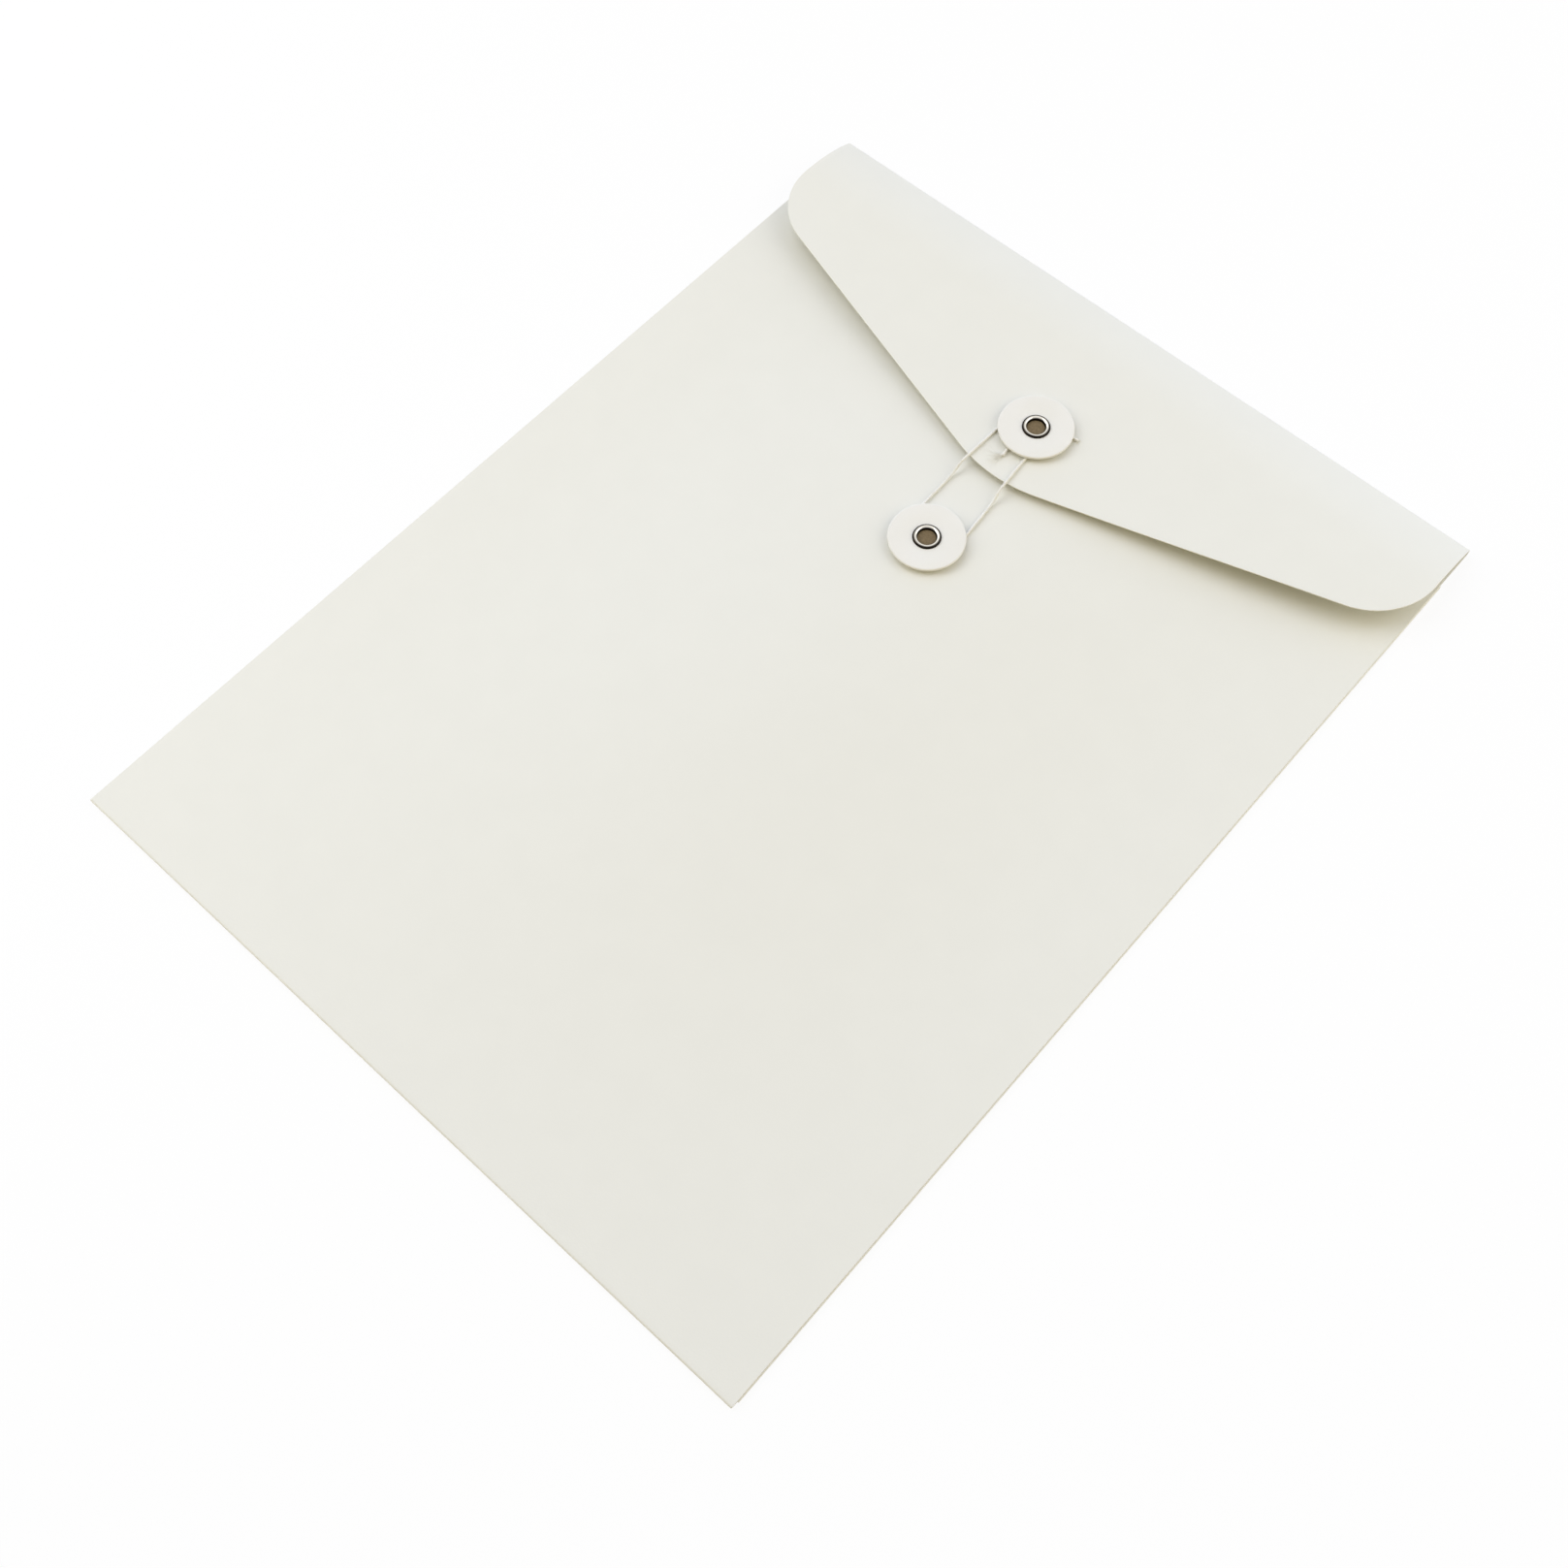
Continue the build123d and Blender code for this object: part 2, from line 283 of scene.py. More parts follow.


# Die-cut edge of the card: bare pulp with a fine mottle from its cut layers. It is paler than the faces,
# partly as the card's own core and partly as a painted highlight along the cut edge
def cut_edge():
    LAYER = 0.09 * MM
    material, tree, shader, place = new_material("die_cut_card_edge")
    shader.inputs["Roughness"].default_value = 0.9
    shader.inputs["Specular IOR Level"].default_value = 0.2
    layers = add(tree, "ShaderNodeTexNoise", {"Vector": place, "Scale": per_metre(LAYER), "Detail": 2.0})
    colour = mixed(tree, layers.outputs[0], linear("#EFEDE4"), linear("#F6F4EC"))
    tree.links.new(colour, shader.inputs["Base Color"])
    return material


# Nickel plate on a stamped and rolled brass eyelet: bright along the roll's crown, with faint smears.
# Painted shade
# and painted dark reflection: nearly black at the bore's lip, where the roll meets the button and down
# the bore
def nickel():
    SMEAR = 1.6 * MM
    material, tree, shader, place = new_material("nickel_plated_eyelet")
    shader.inputs["Metallic"].default_value = 1.0
    # The attribute gives the share that is painted nearly black, as painted shade and painted dark
    # reflection
    painted_dark = add(tree, "ShaderNodeAttribute", attribute_name="tarnish").outputs["Fac"]
    smears = add(tree, "ShaderNodeTexNoise", {"Vector": place, "Scale": per_metre(SMEAR), "Detail": 6.0})
    bright = mixed(tree, smears.outputs[0], linear("#F3EFE6"), linear("#DDD7CB"))
    tree.links.new(mixed(tree, painted_dark, bright, linear("#1F1B16")), shader.inputs["Base Color"])
    rough = add(tree, "ShaderNodeMapRange", {"Value": smears.outputs[0], "To Min": 0.1, "To Max": 0.24})
    tree.links.new(rough.outputs[0], shader.inputs["Roughness"])
    return material


# Bleached cotton string: matt and soft, with a mottle from its fibres. A fibre is about 0.015 mm thick,
# and the mottle is drawn at 0.12 mm to show.
def cotton():
    FIBRE = 0.12 * MM
    FIBRE_DEPTH = 0.06 * MM
    material, tree, shader, place = new_material("bleached_cotton_string")
    shader.inputs["Roughness"].default_value = 0.95
    shader.inputs["Specular IOR Level"].default_value = 0.15
    shader.inputs["Sheen Weight"].default_value = 0.3
    fibres = add(tree, "ShaderNodeTexNoise", {"Vector": place, "Scale": per_metre(FIBRE), "Detail": 3.0})
    colour = mixed(tree, fibres.outputs[0], linear("#EEEDE6"), linear("#F7F6F0"))
    tree.links.new(colour, shader.inputs["Base Color"])
    relief = {"Height": fibres.outputs[0], "Strength": 0.5, "Distance": FIBRE_DEPTH}
    bump = add(tree, "ShaderNodeBump", relief)
    tree.links.new(bump.outputs[0], shader.inputs["Normal"])
    return material


# Kraft paper: unbleached brown pulp, matt, with darker fibre flecks, coloured darker than bare kraft as
# painted shade for the depth of the bore
def kraft_paper_painted_shade():
    FLECK = 0.7 * MM
    material, tree, shader, place = new_material("kraft_bore_paper_painted_shade")
    shader.inputs["Roughness"].default_value = 0.9
    shader.inputs["Specular IOR Level"].default_value = 0.2
    flecks = add(tree, "ShaderNodeTexNoise", {"Vector": place, "Scale": per_metre(FLECK), "Detail": 6.0})
    share = add(tree, "ShaderNodeMapRange", {"Value": flecks.outputs[0], **PULP_RANGE})
    colour = mixed(tree, share.outputs[0], linear("#75674E"), linear("#857458"))
    tree.links.new(colour, shader.inputs["Base Color"])
    return material


# Dried paste: thin, faintly yellow and satin
def dried_paste():
    POOL = 3 * MM
    material, tree, shader, place = new_material("dried_starch_paste")
    pools = add(tree, "ShaderNodeTexNoise", {"Vector": place, "Scale": per_metre(POOL), "Detail": 3.0})
    colour = mixed(tree, pools.outputs[0], linear("#E3DCC4"), linear("#EFE9D6"))
    tree.links.new(colour, shader.inputs["Base Color"])
    rough = add(tree, "ShaderNodeMapRange", {"Value": pools.outputs[0], "To Min": 0.35, "To Max": 0.6})
    tree.links.new(rough.outputs[0], shader.inputs["Roughness"])
    return material


cream_card = uncoated_card("cream_uncoated_card", "#EBEBE3", "#EAEAE2", 0.04 * MM)
button_board = uncoated_card("white_button_board", "#EEEDE7", "#ECEBE4", 0.05 * MM)
card_edge = cut_edge()
eyelet_nickel = nickel()
string_cotton = cotton()
seam_paste = dried_paste()
bore_kraft_painted_shade = kraft_paper_painted_shade()


# Meshes
def smooth(share):
    """Eases from 0 to 1 with level ends: three squares less two cubes."""
    held = np.clip(share, 0, 1)
    return held * held * (3 - 2 * held)


def unit(vectors):
    """The same directions with a length of 1: each vector over its own length."""
    return vectors / np.linalg.norm(vectors, axis=-1, keepdims=True)


def grid_faces(rows, columns, close_rows=False, close_columns=False):
    """Four-sided faces between neighbours of a grid of points, closing on itself where told."""
    down = np.arange(rows if close_rows else rows - 1)[:, None]
    along = np.arange(columns if close_columns else columns - 1)[None, :]
    below = (down + 1) % rows
    beside = (along + 1) % columns
    corners = (
        down * columns + along,
        down * columns + beside,
        below * columns + beside,
        below * columns + along,
    )
    return np.stack(np.broadcast_arrays(*corners), axis=-1).reshape(-1, 4)


def make_piece(name, points, faces, materials, edge_faces=0, sharp=SHARP_ANGLE):
    """A mesh object of four-sided faces; the last edge_faces of them take the second material."""
    mesh = bpy.data.meshes.new(name)
    mesh.vertices.add(len(points))
    mesh.vertices.foreach_set("co", np.asarray(points, np.float32).ravel())
    mesh.loops.add(faces.size)
    mesh.loops.foreach_set("vertex_index", faces.astype(np.int32).ravel())
    mesh.polygons.add(len(faces))
    mesh.polygons.foreach_set("loop_start", np.arange(0, faces.size, 4, dtype=np.int32))
    kinds = np.zeros(len(faces), np.int32)
    kinds[len(faces) - edge_faces:] = 1
    for material in materials:
        mesh.materials.append(material)
    mesh.polygons.foreach_set("material_index", kinds)
    mesh.update(calc_edges=True)
    mesh.validate()
    mesh.shade_smooth()
    mesh.set_sharp_from_angle(angle=sharp)
    piece = bpy.data.objects.new(name, mesh)
    bpy.context.scene.collection.objects.link(piece)
    return piece


def card_sheet(name, middle, hole_y):
    """A card sheet about a grid of middle points: skins half its thickness to either side along the
    normals, the cells round the eyelet's hole left out, and a rim along each edge that one cell uses.
    The rim of the hole is drawn to a circle. Cells under the hinge lie below the hole and stay."""
    rows, columns, _ = middle.shape
    across = np.gradient(middle, axis=1)
    along = np.gradient(middle, axis=0)
    normal = unit(np.cross(across, along))
    points = middle.reshape(-1, 3).copy()
    faces = grid_faces(rows, columns)
    from_hole = np.hypot(points[:, 0], points[:, 1] - hole_y)
    from_hole[points[:, 2] < hinge.z] = HALF_WIDTH
    faces = faces[(from_hole[faces] > PIERCED_RADIUS).all(axis=1)]
    edges = np.stack([faces, np.roll(faces, -1, axis=1)], axis=2).reshape(-1, 2)
    order = np.sort(edges, axis=1)
    _, first, uses = np.unique(order, axis=0, return_index=True, return_counts=True)
    rim = edges[first[uses == 1]]
    ring = np.unique(rim[from_hole[rim].max(axis=1) < PIERCED_RADIUS + 2 * CELL])
    away = points[ring, :2] - (0, hole_y)
    points[ring, :2] = (0, hole_y) + away * (PIERCED_RADIUS / from_hole[ring])[:, None]
    half = normal.reshape(-1, 3) * CARD / 2
    used, faces = np.unique(faces, return_inverse=True)
    faces = faces.reshape(-1, 4)
    rim = np.searchsorted(used, rim)
    count = len(used)
    rim_faces = np.stack([rim[:, 1], rim[:, 0], rim[:, 0] + count, rim[:, 1] + count], axis=1)
    skins = np.concatenate([points[used] + half[used], points[used] - half[used]])
    whole = np.concatenate([faces, faces[:, ::-1] + count, rim_faces])
    return make_piece(name, skins, whole, (cream_card, card_edge), len(rim_faces))


def turned(name, profile, centre, material, turns):
    """A closed profile of radius and height, carried round an upright axis."""
    angle = np.linspace(0, 2 * math.pi, turns, endpoint=False)[:, None]
    radius, height = profile[:, 0], profile[:, 1]
    points = np.stack(
        [
            centre[0] + radius * np.cos(angle),
            centre[1] + radius * np.sin(angle),
            centre[2] + np.broadcast_to(height, (turns, len(height))),
        ],
        axis=2,
    )
    faces = grid_faces(turns, len(profile), close_rows=True, close_columns=True)[:, ::-1]
    return make_piece(name, points.reshape(-1, 3), faces, (material,))


def close_poles(piece):
    """Merges the points of a turned piece that meet on its axis, and drops the edge left along it."""
    merged = bmesh.new()
    merged.from_mesh(piece.data)
    bmesh.ops.remove_doubles(merged, verts=merged.verts, dist=MERGE_DISTANCE)
    bare = [edge for edge in merged.edges if edge.is_wire]
    bmesh.ops.delete(merged, geom=bare, context="EDGES")
    merged.to_mesh(piece.data)
    merged.free()


def paint(piece, layer, shares):
    """Keeps a share from 0 to 1 for each point of a piece, for its material to read by name."""
    attribute = piece.data.attributes.new(layer, "FLOAT", "POINT")
    attribute.data.foreach_set("value", np.asarray(shares, np.float32).ravel())


def dress(piece, body, slot, *nodes):
    """Puts a piece on its body in place of its CAD nodes. The slot is not used."""
    if body:
        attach(piece, body)
    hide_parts(*nodes)
    return piece


# Front panel: round the bottom fold, then up from the fold and the two seams to a rounded crown
def bow(x):
    """Share of the crown's rise at a place across: half a cosine from the crown down to the seams."""
    reach = np.clip(np.abs(x) / SEAM_INNER_X, 0, 1)
    return (1 + np.cos(math.pi * reach)) / 2


def front_panel():
    """The middle of the sheet: a half turn at the bottom fold, then the bow times its rise along Y.
    Where the card is free it has two slow waves, one crosswise and one aslant, and it droops past the
    lower button."""
    fold_radius = (LAND_Z + CARD) / 2
    turn_radius = fold_radius - CARD / 2
    fold_y = front_low.y + fold_radius
    turn = np.linspace(0, math.pi, BOTTOM_FOLD_STEPS)
    flat = np.linspace(0, front_high.y - fold_y, round((front_high.y - fold_y) / CELL) + 1)[1:]
    y = np.concatenate([fold_y - turn_radius * np.sin(turn), fold_y + flat])[:, None]
    fold_z = fold_radius - turn_radius * np.cos(turn)
    flat_z = np.full(len(flat), LAND_Z + CARD / 2)
    level = np.concatenate([fold_z, flat_z])[:, None]
    x = np.linspace(-HALF_WIDTH, HALF_WIDTH, round(2 * HALF_WIDTH / CELL) + 1)[None, :]
    free = smooth((y - fold_y) / BOW_LENGTH) * bow(x)
    wave = np.sin(x / CROSS_WAVE_X + CROSS_WAVE_START_X) * np.sin(y / CROSS_WAVE_Y + CROSS_WAVE_START_Y)
    wave = wave + np.sin(x / SLANT_WAVE_X - y / SLANT_WAVE_Y)
    droop = MOUTH_DROOP * smooth((y - LOWER_Y - PIERCED_RADIUS) / MOUTH_DROOP_RUN)
    rise = free * (front_high.z - CARD - LAND_Z - WAVE_HEIGHT - droop + WAVE_HEIGHT * wave / 2)
    middle = np.stack(np.broadcast_arrays(x, y, level + rise), axis=2)
    return card_sheet("front_panel_card", middle, LOWER_Y)


dress(front_panel(), "pocket", "cream_card", "front_panel")


# Closing flap with its crease, as one sheet
def flap_edge(count):
    """Places along the flap's cut edge, evenly by length, from one side to the other: a round corner, a
    straight slope, the round tip, and the same again. Each stretch adds its own reach in X and Y."""
    tip = TIP_RADIUS * EDGE_SLOPE
    corner = CORNER_RADIUS * (math.pi / 2 - EDGE_SLOPE)
    across = HALF_WIDTH - TIP_RADIUS * math.sin(EDGE_SLOPE) - CORNER_RADIUS * (1 - math.sin(EDGE_SLOPE))
    slope = across / math.cos(EDGE_SLOPE)
    place = np.linspace(-1, 1, count) * (tip + slope + corner)
    length = np.abs(place)
    tip_turn = np.clip(length, 0, tip) / TIP_RADIUS
    on_slope = np.clip(length - tip, 0, slope)
    corner_turn = EDGE_SLOPE + np.clip(length - tip - slope, 0, corner) / CORNER_RADIUS
    x = TIP_RADIUS * np.sin(tip_turn) + on_slope * math.cos(EDGE_SLOPE)
    x += CORNER_RADIUS * (np.sin(corner_turn) - math.sin(EDGE_SLOPE))
    y = TIP_RADIUS * (1 - np.cos(tip_turn)) + on_slope * math.sin(EDGE_SLOPE)
    y += CORNER_RADIUS * (math.cos(EDGE_SLOPE) - np.cos(corner_turn))
    return np.sign(place) * x, flap_low.y + y


def closing_flap():
    """The middle of the sheet along its length: flat, round the crease, up a long springy arc, then
    level to the cut edge. Each stretch adds its own reach in Y and Z, and the rows share out the rest.
    The right corner lifts, easing in from the middle and from the crease."""
    crease_radius = hinge.z - CARD / 2
    crease = crease_radius * (math.pi - SPRINGBACK)
    lead = hinge.y - fold_low.y
    root_y = hinge.y + crease_radius * math.sin(SPRINGBACK)
    root_z = hinge.z + crease_radius * math.cos(SPRINGBACK)
    spring_radius = (flap_high.z - CARD / 2 - root_z) / (1 - math.cos(SPRINGBACK))
    spring = spring_radius * SPRINGBACK
    spring_reach = spring_radius * math.sin(SPRINGBACK)
    edge_x, edge_y = flap_edge(FLAP_COLUMNS)
    depth = root_y - edge_y
    still_turning = np.arcsin(np.clip(math.sin(SPRINGBACK) - depth / spring_radius, 0, 1))
    sheet = spring_radius * (SPRINGBACK - still_turning) + np.clip(depth - spring_reach, 0, None)
    rows = np.linspace(0, 1, FLAP_ROWS + 1)[1:, None]
    start = np.linspace(0, lead + crease, CREASE_STEPS)[:, None]
    start = np.broadcast_to(start, (CREASE_STEPS, FLAP_COLUMNS))
    run = np.concatenate([start, lead + crease + rows * sheet])
    crease_turn = np.clip(run - lead, 0, crease) / crease_radius
    spring_turn = SPRINGBACK - np.clip(run - lead - crease, 0, spring) / spring_radius
    y = fold_low.y + np.clip(run, 0, lead) + crease_radius * np.sin(crease_turn)
    y -= spring_radius * (math.sin(SPRINGBACK) - np.sin(spring_turn))
    y -= np.clip(run - lead - crease - spring, 0, None)
    z = CARD / 2 + crease_radius * (1 - np.cos(crease_turn))
    z += spring_radius * (np.cos(spring_turn) - math.cos(SPRINGBACK))
    x = np.broadcast_to(edge_x, y.shape)
    corner = smooth((x - CORNER_LIFT_X) / (HALF_WIDTH - CORNER_LIFT_X))
    z = z + CORNER_LIFT * corner * smooth((run - lead - crease) / CORNER_LIFT_RUN)
    middle = np.stack([x, y, z], axis=2)
    return card_sheet("closing_flap_card", middle, UPPER_Y)


flap = closing_flap()
dress(flap, None, "cream_card", "closure_flap", "flap_fold")
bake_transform(flap)


# Buttons: die-cut discs drawn down a little round their eyelets
def button_profile():
    """Round the section: under, round the outer edge, over the top and down the hole, with a dish that
    eases out from the eyelet."""
    edge_turn = np.linspace(-math.pi / 2, math.pi / 2, BUTTON_EDGE_STEPS)
    rim_radius = BUTTON_RADIUS - BUTTON_EDGE
    half = BUTTON_THICKNESS / 2
    under = np.linspace(PIERCED_RADIUS, rim_radius, BUTTON_FACE_STEPS)
    edge_r = rim_radius + BUTTON_EDGE * np.cos(edge_turn)
    edge_z = half + half * np.sin(edge_turn)
    radius = np.concatenate([under[:-1], edge_r, under[::-1][1:]])
    face_z = np.zeros(BUTTON_FACE_STEPS - 1)
    height = np.concatenate([face_z, edge_z, face_z + BUTTON_THICKNESS])
    dish = 1 - smooth((radius - EYELET_BORE_RADIUS) / BUTTON_DISH_REACH)
    return np.stack([radius, height - BUTTON_DISH * dish], axis=1)


# Eyelets: a hollow rolled flange, a barrel and a rolled clinch
def eyelet_profile(barrel):
    """Round the section: half an ellipse over the flange, its inner skin back, down the barrel, and the
    same two skins round the clinch."""
    flange_radius = (eyelet_high.x - eyelet_low.x) / 2
    barrel_radius = EYELET_BORE_RADIUS + EYELET_WALL
    turn = np.linspace(0, math.pi, ROLL_STEPS)
    skins = [
        (EYELET_BORE_RADIUS, flange_radius, 0, FLANGE_HEIGHT),
        (flange_radius - EYELET_WALL, barrel_radius, 0, FLANGE_HEIGHT - EYELET_WALL),
        (barrel_radius, CLINCH_RADIUS - EYELET_WALL, -barrel, EYELET_WALL - CLINCH_DEPTH),
        (CLINCH_RADIUS, EYELET_BORE_RADIUS, -barrel, -CLINCH_DEPTH),
    ]
    arches = []
    for begin, end, level, height in skins:
        radius = (begin + end) / 2 + (begin - end) / 2 * np.cos(turn)
        arches.append(np.stack([radius, level + height * np.sin(turn)], axis=1))
    return np.concatenate(arches)[::-1]


# Bore papers: the round of kraft paper that shows a little way down each eyelet, its colour darkened as
# painted shade deep in the bore
def bore_paper_profile():
    """Half of the section, from the axis out under the round, over its bevelled edge and back."""
    wall = EYELET_BORE_RADIUS - RUNNING_CLEARANCE
    top = -BORE_PAPER_DEPTH
    foot = top - BORE_PAPER_THICKNESS
    return np.array(
        [
            (0, foot),
            (wall - BORE_PAPER_EDGE, foot),
            (wall, foot + BORE_PAPER_EDGE),
            (wall, top - BORE_PAPER_EDGE),
            (wall - BORE_PAPER_EDGE, top),
            (0, top),
        ]
    )


barrel_length = STRING_ROOM + BUTTON_THICKNESS + CARD + 2 * RUNNING_CLEARANCE
for name, low, high, disc_body, eyelet_body in (
    ("upper", disc_low, disc_high, "upper_disc", "flap"),
    ("lower", lower_disc_low, lower_disc_high, "lower_disc", "pocket"),
):
    centre = Vector((0, (low.y + high.y) / 2, low.z))
    disc = turned(name + "_button_disc", button_profile(), centre, button_board, BUTTON_TURNS)
    dress(disc, disc_body, "button_board", name + "_button")
    seat = centre + Vector((0, 0, BUTTON_THICKNESS + RUNNING_CLEARANCE - BUTTON_DISH))
    section = eyelet_profile(barrel_length - BUTTON_DISH)
    eyelet = turned(name + "_rolled_eyelet", section, seat, eyelet_nickel, EYELET_TURNS)
    flange = (section[:, 0] - EYELET_BORE_RADIUS) / (section[:, 0].max() - EYELET_BORE_RADIUS)
    # Painted shade and painted dark reflection: the lip by the bore, the outer roll where it sits on the
    # button, and all below the button are painted nearly black
    lip_shade = 1 - smooth(flange / LIP_PAINTED_SHADE)
    seat_shade = smooth((flange - 1 + SEAT_PAINTED_SHADE) / (SEAT_PAINTED_SHADE / 2))
    buried = section[:, 1] < 0
    paint(eyelet, "tarnish", np.tile(np.where(buried, 1, np.maximum(lip_shade, seat_shade)), EYELET_TURNS))
    dress(eyelet, eyelet_body, "nickel_eyelet", name + "_eyelet")
    paper = turned(name + "_bore_paper", bore_paper_profile(), seat, bore_kraft_painted_shade, EYELET_TURNS)
    close_poles(paper)
    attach(paper, eyelet_body)


# String: tucked under the upper button, down the left, round the lower eyelet, up the right, round the
# upper eyelet and out below the button, as offsets from the two buttons in millimetres
upper_z = (flap_high.z + STRING_DIAMETER / 2) / MM
lower_z = (front_high.z + STRING_DIAMETER / 2) / MM
tip_z = upper_z + TIP_RISE / MM
drop_z = lower_z - TIP_DROP / MM
sag_z = lower_z - STRING_SAG / MM
upper_y = UPPER_Y / MM
lower_y = LOWER_Y / MM
string_route = [
    (11.4, upper_y + 5.0, upper_z),
    (7.8, upper_y + 4.1, upper_z),
    (1.4, upper_y + 9.2, upper_z),
    (-4.8, upper_y + 7.8, upper_z),
    (-8.2, upper_y + 2.6, upper_z),
    (-8.4, upper_y - 6.0, upper_z),
    (-9.0, upper_y - 22.3, tip_z),
    (-8.9, upper_y - 26.0, drop_z),
    (-8.5, lower_y + 14.0, sag_z),
    (-8.2, lower_y + 5.0, lower_z),
    (-6.9, lower_y - 3.2, lower_z),
    (-2.7, lower_y - 8.0, lower_z),
    (3.0, lower_y - 7.8, lower_z),
    (6.9, lower_y - 3.0, lower_z),
    (7.6, lower_y + 5.0, lower_z),
    (6.7, lower_y + 14.0, sag_z),
    (5.8, upper_y - 26.0, drop_z),
    (5.2, upper_y - 22.3, tip_z),
    (3.9, upper_y - 8.5, upper_z),
    (3.8, upper_y - 2.2, upper_z),
    (3.8, upper_y + 2.2, upper_z),
    (0.0, upper_y + 4.4, upper_z),
    (-3.8, upper_y + 2.2, upper_z),
    (-3.7, upper_y - 2.4, upper_z),
    (-2.5, upper_y - 7.0, upper_z),
    (-1.9, upper_y - 10.4, upper_z),
    (-1.4, upper_y - 13.2, upper_z),
]


def string_line(route):
    """Points along the smooth line whose control points, all of weight 1, are the route's points."""
    curve = bpy.data.curves.new("string_line", "CURVE")
    curve.dimensions = "3D"
    curve.resolution_u = STRING_STEPS
    spline = curve.splines.new("NURBS")
    spline.points.add(len(route) - 1)
    controls = np.column_stack([np.array(route) * MM, np.ones(len(route))])
    spline.points.foreach_set("co", controls.ravel())
    spline.order_u = 3
    spline.use_endpoint_u = True
    holder = bpy.data.objects.new("string_line", curve)
    mesh = bpy.data.meshes.new_from_object(holder)
    line = np.empty(len(mesh.vertices) * 3)
    mesh.vertices.foreach_get("co", line)
    bpy.data.objects.remove(holder)
    bpy.data.curves.remove(curve)
    bpy.data.meshes.remove(mesh)
    return line.reshape(-1, 3)


def tubes(lines, radius):
    """Eight-sided tubes along several lines at once, with closed ends. Each ring stands square to its
    line, on a sideways and an upright arm, and its size follows the radius given for each point."""
    count, steps, _ = lines.shape
    sides = 8
    along = unit(np.gradient(lines, axis=1))
    sideways = unit(np.cross(along, UP))
    upright = np.cross(sideways, along)
    angle = np.linspace(0, 2 * math.pi, sides, endpoint=False)[:, None]
    arms = sideways[:, :, None] * np.cos(angle) + upright[:, :, None] * np.sin(angle)
    points = lines[:, :, None] + arms * np.broadcast_to(radius, (count, steps))[:, :, None, None]
    walls = grid_faces(steps, sides, close_columns=True)
    cap = np.array([(3, 2, 1, 0), (7, 4, 3, 0), (7, 6, 5, 4)])
    one = np.concatenate([walls[:, ::-1], cap[:, ::-1], cap + (steps - 1) * sides])
    faces = (one[None] + (np.arange(count) * steps * sides)[:, None, None]).reshape(-1, 4)
    return points.reshape(-1, 3), faces


def twisted(line):
    """The string's plies: each winds round the line once in a lay, on a sideways and an upright arm."""
    sideways = unit(np.cross(np.gradient(line, axis=0), UP))
    run = np.concatenate([[0], np.cumsum(np.linalg.norm(np.diff(line, axis=0), axis=1))])
    ply = np.arange(STRING_PLIES)[:, None] / STRING_PLIES
    turn = (2 * math.pi * (run / STRING_LAY + ply))[:, :, None]
    return line + PLY_ARM * (np.cos(turn) * sideways + np.sin(turn) * UP)


line = string_line(string_route)
points, faces = tubes(twisted(line), PLY_RADIUS)
string = make_piece("cotton_tie_string", points, faces, (string_cotton,), sharp=STRAND_SHARP_ANGLE)


def frayed(end, direction, swept, count, length):
    """Loose fibres from a cut end: each starts in the string's section, leans off the string's direction
    to the swept side by a random amount, and bends on while it sinks or lifts a little."""
    steps = np.linspace(0, 1, FIBRE_STEPS)[None, :, None]
    sideways = np.cross(direction, UP)
    lean = swept + rng.normal(0, FIBRE_LEAN, (count, 1, 1))
    bend = rng.normal(0, FIBRE_BEND, (count, 1, 1))
    reach = length * rng.uniform(*FIBRE_REACH, (count, 1, 1))
    heading = unit(direction + lean * sideways)
    start = end + rng.normal(0, FIBRE_SCATTER, (count, 1, 3))
    across = np.cross(heading, UP)
    lines = start + reach * steps * heading + reach * steps ** 2 * bend * across
    lift = rng.uniform(*FIBRE_LIFT, (count, 1)) * STRING_DIAMETER
    lines[:, :, 2] += steps[:, :, 0] * lift
    return lines


def fuzz(count):
    """Short fibres that stand off the string where it is in the open: each starts on the string at a
    random place and heads off to a random side, curling along the string."""
    in_open = (line[:, 1] > LOWER_Y + BUTTON_RADIUS) & (line[:, 1] < UPPER_Y - BUTTON_RADIUS)
    pick = rng.choice(np.flatnonzero(in_open)[1:-1], count)
    along = unit(line[pick + 1] - line[pick - 1])
    sideways = np.cross(along, UP)
    turn = rng.uniform(0, math.pi, (count, 1))
    off = np.cos(turn) * sideways + np.sin(turn) * UP
    steps = np.linspace(0, 1, FIBRE_STEPS)[None, :, None]
    reach = STRING_DIAMETER * rng.uniform(*FUZZ_REACH, (count, 1, 1))
    curl = rng.normal(0, FUZZ_CURL, (count, 1, 1))
    return line[pick][:, None] + reach * (steps * off[:, None] + steps ** 2 * curl * along[:, None])


def ends_of_string():
    """The fibres at both cut ends and along the string, each thinning towards its tip. An end's own
    direction is taken over its last few points."""
    tail = unit(line[-1] - line[-1 - END_SPAN])
    head = unit(line[0] - line[END_SPAN])
    tail_root = line[-1] - tail * TAIL_FIBRE_ROOT
    head_root = line[0] - head * HEAD_FIBRE_ROOT
    lines = np.concatenate(
        [
            frayed(tail_root, tail, TAIL_SWEEP, TAIL_FIBRES, TAIL_FIBRE_LENGTH),
            frayed(head_root, head, HEAD_SWEEP, HEAD_FIBRES, HEAD_FIBRE_LENGTH),
            fuzz(FUZZ_FIBRES),
        ]
    )
    radius = FIBRE_RADIUS * np.linspace(FIBRE_ROOT_SIZE, FIBRE_TIP_SIZE, FIBRE_STEPS)
    points, faces = tubes(lines, radius)
    return make_piece("frayed_string_ends", points, faces, (string_cotton,), sharp=STRAND_SHARP_ANGLE)


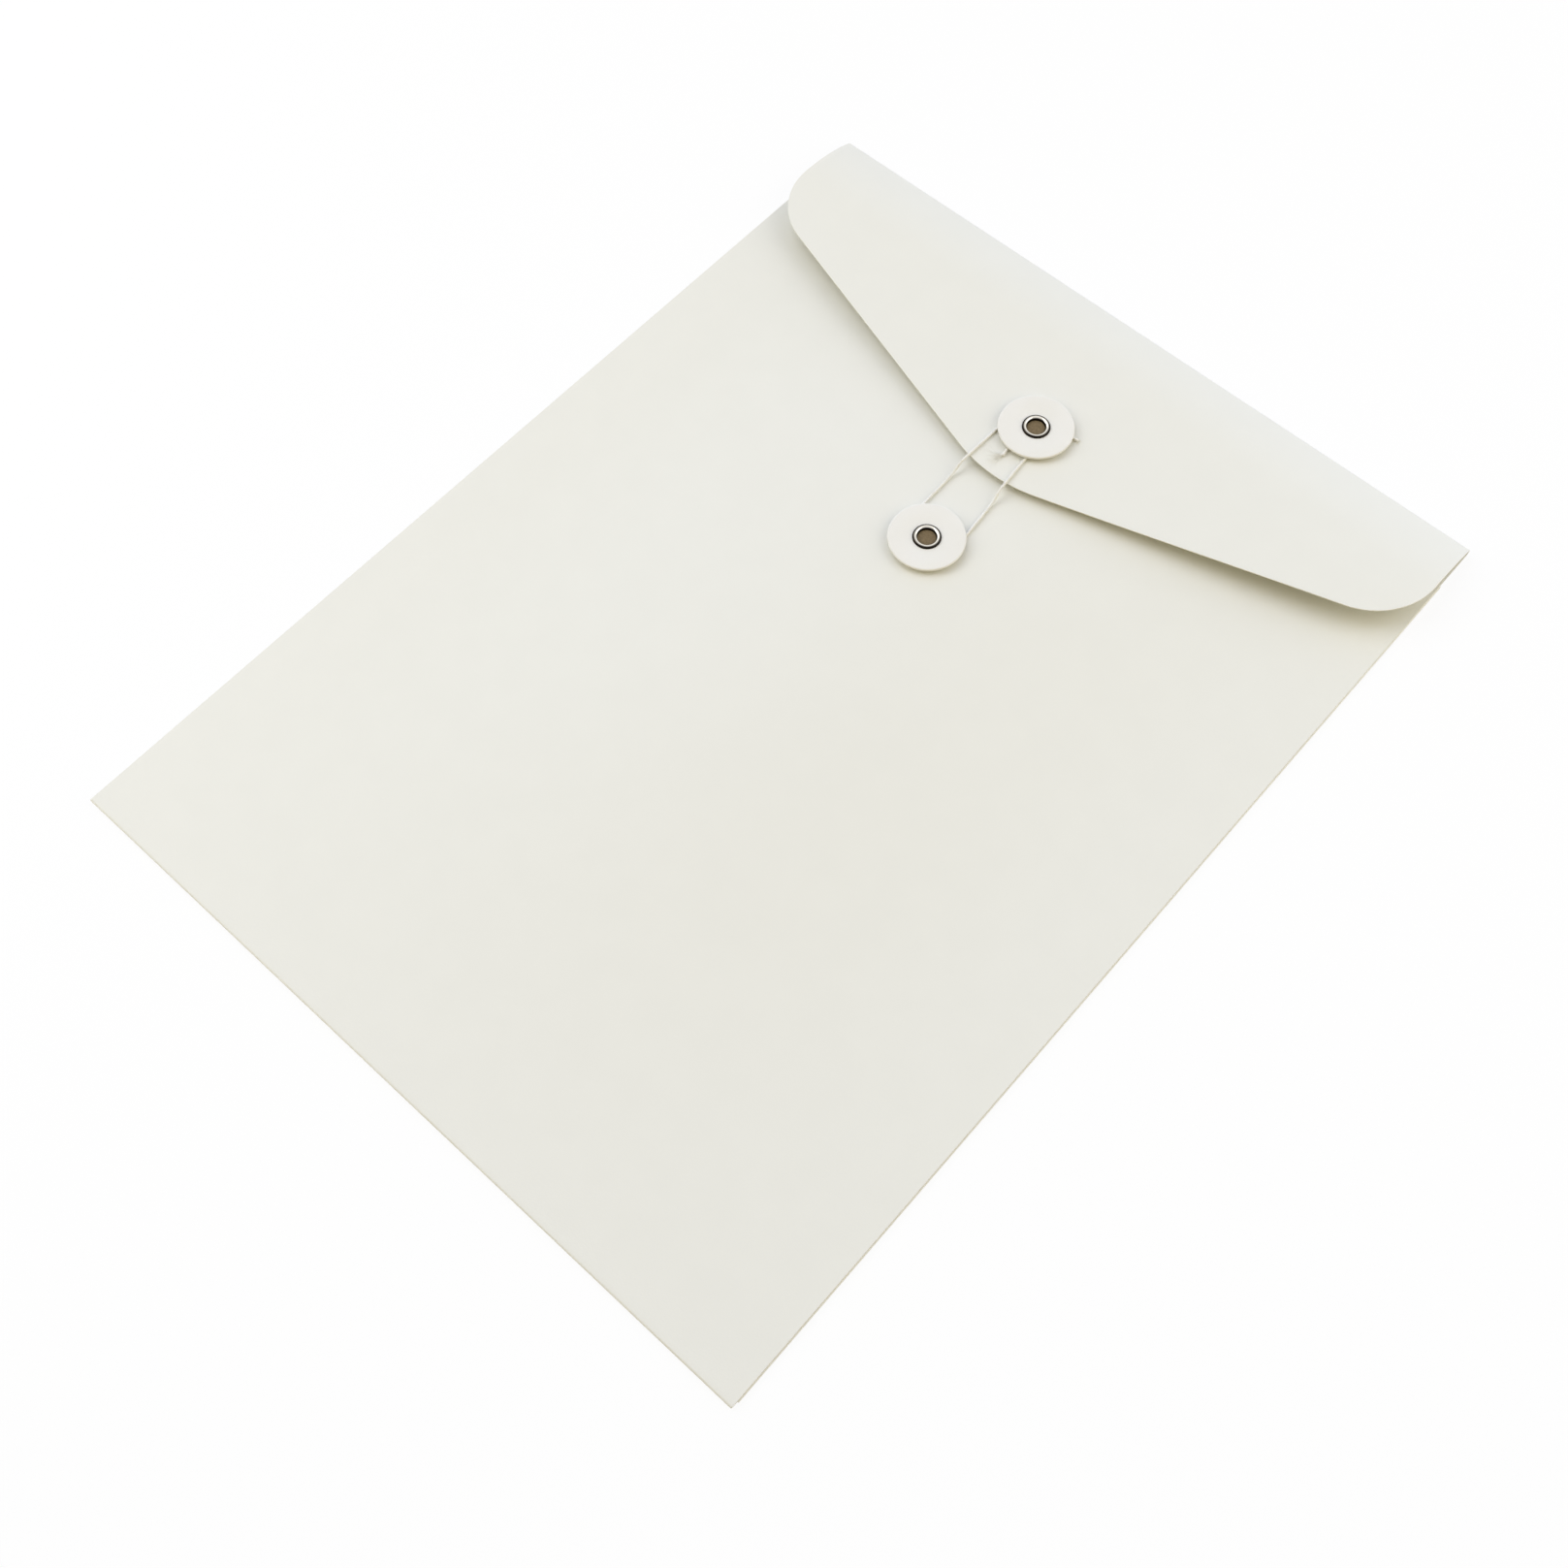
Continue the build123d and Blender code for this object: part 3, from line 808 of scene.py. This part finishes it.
fray = ends_of_string()
dress(string, "flap", "cotton_string", "tie_string")
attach(fray, "flap")


# CAD pieces that show as they are
cad_finishes = {
    "back_panel": cream_card,
    "left_seam_flap": cream_card,
    "right_seam_flap": cream_card,
    "left_glue_line": seam_paste,
    "right_glue_line": seam_paste,
}
for name, finish in cad_finishes.items():
    materials = frame["nodes"][name].data.materials
    materials.clear()
    materials.append(finish)


# Stage: a white floor that keeps a faint shadow, under a soft sky that is a little cool behind the left
# side and dim and warm towards the camera. A large lamp high at the left gives the main light. A small
# one at the near left and a wide one at the far right add to it, so that it falls off towards the near
# corner. Each lamp has its place and width in metres and its power in watts.
FLOOR_SIZE = 6.0
FLOOR_DROP = 0.15 * MM
FLOOR_COLOUR = (0.95, 0.95, 0.95, 1)
WHITE = (1, 1, 1, 1)
FLOOR_WHITE = 0.9
SKY_WHITE = 1.0
SKY_TOP = Vector((-0.62, 0.56, 0.55))
SKY_BRIGHT = (0.605, 0.695, 0.955)
SKY_DIM = (0.435, 0.348, 0.152)
LAMPS = (
    ("left_lamp", Vector((-0.85, -0.05, 1.1)), 1.2, 5.7),
    ("near_left_lamp", Vector((-0.6, -0.42, 0.45)), 0.5, 1.65),
    ("far_right_lamp", Vector((0.62, 0.5, 0.5)), 1.0, 3.7),
)


def shown_white(tree, share):
    """That share of white in a stage shader, where the camera sees it straight, by gloss or through."""
    path = add(tree, "ShaderNodeLightPath").outputs
    seen = path["Is Camera Ray"]
    for ray in ("Is Glossy Ray", "Is Transmission Ray"):
        seen = add(tree, "ShaderNodeMath", {0: seen, 1: path[ray]}, operation="MAXIMUM").outputs[0]
    return add(tree, "ShaderNodeMath", {0: seen, 1: share}, operation="MULTIPLY").outputs[0]


def floor():
    """A square that is mostly white where it is seen, and matt for the rest, so that shadows stay."""
    half = FLOOR_SIZE / 2
    corners = np.array([(-half, -half, 0), (half, -half, 0), (half, half, 0), (-half, half, 0)])
    material, tree, shader, _ = new_material("white_studio_floor")
    tree.nodes.remove(shader)
    matt = add(tree, "ShaderNodeBsdfDiffuse", {"Color": FLOOR_COLOUR})
    white = add(tree, "ShaderNodeEmission", {"Color": WHITE, "Strength": 1.0})
    shown = add(
        tree,
        "ShaderNodeMixShader",
        {0: shown_white(tree, FLOOR_WHITE), 1: matt.outputs[0], 2: white.outputs[0]},
    )
    tree.links.new(shown.outputs[0], tree.nodes["Material Output"].inputs["Surface"])
    piece = make_piece("floor", corners - (0, 0, FLOOR_DROP), np.array([(0, 1, 2, 3)]), (material,))
    piece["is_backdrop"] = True


def sky():
    """Brightness follows the cosine between a direction and the sky's brightest one, with eased ends."""
    world = bpy.data.worlds.new("studio_sky")
    bpy.context.scene.world = world
    world.use_nodes = True
    tree = world.node_tree
    place = add(tree, "ShaderNodeTexCoord").outputs["Generated"]
    top = SKY_TOP.normalized()
    near = add(tree, "ShaderNodeVectorMath", {0: place, 1: top}, operation="DOT_PRODUCT")
    cosine = near.outputs["Value"]
    eased = add(tree, "ShaderNodeMapRange", {"Value": cosine}, interpolation_type="SMOOTHSTEP")
    colour = mixed(tree, eased.outputs[0], (*SKY_DIM, 1), (*SKY_BRIGHT, 1))
    colour = mixed(tree, shown_white(tree, SKY_WHITE), colour, WHITE)
    tree.links.new(colour, tree.nodes["Background"].inputs["Color"])


def soft_lamp(name, place, size, power):
    """A round lamp that faces the origin and doesn't show by itself."""
    lamp = bpy.data.lights.new(name, "AREA")
    lamp.shape = "DISK"
    lamp.size = size
    lamp.energy = power
    holder = bpy.data.objects.new(name, lamp)
    holder.location = place
    holder.rotation_mode = "QUATERNION"
    holder.rotation_quaternion = (-place).to_track_quat("-Z", "Y")
    holder.visible_camera = False
    bpy.context.scene.collection.objects.link(holder)


floor()
sky()
for name, place, size, power in LAMPS:
    soft_lamp(name, place, size, power)
bpy.context.scene.view_settings.view_transform = "Standard"

# The dressed model's box
low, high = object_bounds()
